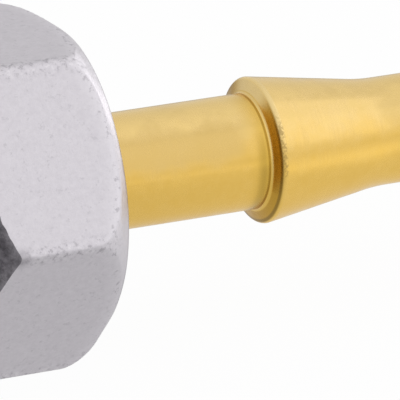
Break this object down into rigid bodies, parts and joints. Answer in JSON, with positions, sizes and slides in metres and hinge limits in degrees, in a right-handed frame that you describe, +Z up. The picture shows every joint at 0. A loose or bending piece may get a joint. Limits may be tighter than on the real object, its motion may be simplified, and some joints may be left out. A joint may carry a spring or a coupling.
{
  "type": "hose tail with union nut",
  "caption": "Turned brass hose tail with barbs and a ball nose, held captive in a freely turning plated hexagon union nut whose nicked corners mark a left-hand thread.",
  "frame": {"origin": "on the axis, in the plane of the nut's mouth", "axes": "+X along the axis from the nut's mouth towards the tip of the tail, +Z up, square to the nut flat that it lies on"},
  "size_m": [0.0585, 0.0252, 0.022],
  "materials": {
    "plated_nut": "matt zinc plating, pale grey, finely pitted, with small nicks along the edges",
    "turned_brass": "bare turned brass, satin, with fine tool marks round the axis"
  },
  "bodies": {
    "tail": {"hose_tail": "turned_brass"},
    "nut": {"union_nut": "plated_nut"}
  },
  "joints": [
    {"name": "nut_swivel", "type": "hinge", "parent": "tail", "child": "nut", "pos_m": [0.0175, 0, 0], "axis": [1, 0, 0], "continuous": true}
  ]
}
